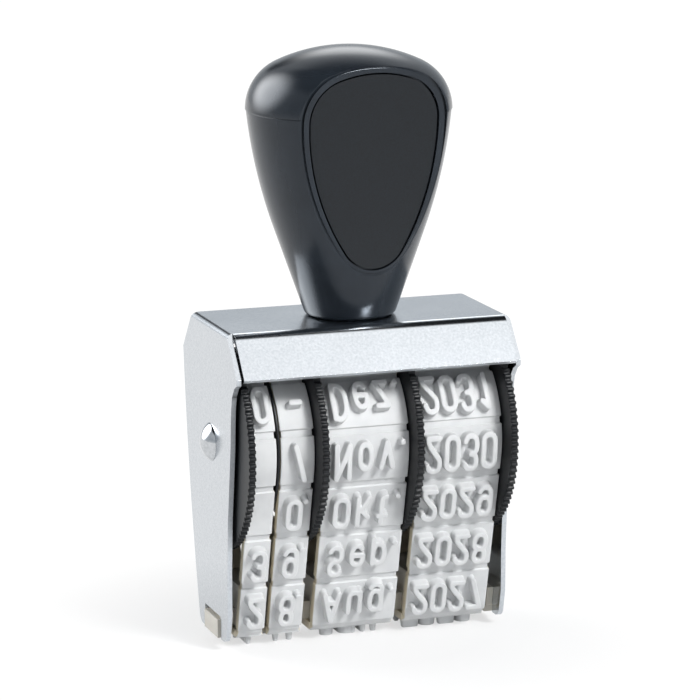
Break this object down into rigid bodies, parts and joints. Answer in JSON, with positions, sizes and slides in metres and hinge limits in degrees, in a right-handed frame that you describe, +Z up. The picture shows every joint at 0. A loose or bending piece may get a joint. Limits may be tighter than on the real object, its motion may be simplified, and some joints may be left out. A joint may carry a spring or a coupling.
{
  "type": "date stamp",
  "caption": "Hand date stamp: a folded steel frame carries knurled setting wheels and endless rubber type bands that turn under a platen, with a moulded grip screwed on top.",
  "frame": {"origin": "on the desk under the middle of the stamp, in the plane of the printing faces of the type", "axes": "+Z up along the grip, +X along the axle towards the year wheel, -Y towards the reader of the front panel"},
  "size_m": [0.0452, 0.031, 0.0853],
  "materials": {
    "frame_steel": "satin nickel-plated sheet",
    "axle_steel": "bright drawn steel",
    "wheel_plastic": "moulded black, slightly glossy",
    "band_rubber": "moulded light grey, matt",
    "platen_plastic": "moulded cream, matt",
    "handle_plastic": "moulded black, glossy",
    "panel_plastic": "fine grained dark grey, matt",
    "screw_steel": "zinc plated"
  },
  "bodies": {
    "stamp": {"frame": "frame_steel", "axle": "axle_steel", "left_thrust_washer": "axle_steel", "separator_disc": "axle_steel", "units_month_washer": "axle_steel", "month_year_washer": "axle_steel", "right_thrust_washer": "axle_steel", "tens_band": "band_rubber", "units_band": "band_rubber", "month_band": "band_rubber", "year_band": "band_rubber", "platen": "platen_plastic", "handle_body": "handle_plastic", "handle_cap": "handle_plastic", "front_panel": "panel_plastic", "handle_screw": "screw_steel", "lock_washer": "screw_steel"},
    "tens_setter": {"tens_wheel": "wheel_plastic"},
    "units_setter": {"units_wheel": "wheel_plastic"},
    "month_setter": {"month_wheel": "wheel_plastic"},
    "year_setter": {"year_wheel": "wheel_plastic"}
  },
  "joints": [
    {"name": "tens_turn", "type": "hinge", "parent": "stamp", "child": "tens_setter", "pos_m": [0, 0, 0.0295], "axis": [1, 0, 0], "continuous": true},
    {"name": "units_turn", "type": "hinge", "parent": "stamp", "child": "units_setter", "pos_m": [0, 0, 0.0295], "axis": [1, 0, 0], "continuous": true},
    {"name": "month_turn", "type": "hinge", "parent": "stamp", "child": "month_setter", "pos_m": [0, 0, 0.0295], "axis": [1, 0, 0], "continuous": true},
    {"name": "year_turn", "type": "hinge", "parent": "stamp", "child": "year_setter", "pos_m": [0, 0, 0.0295], "axis": [1, 0, 0], "continuous": true}
  ]
}
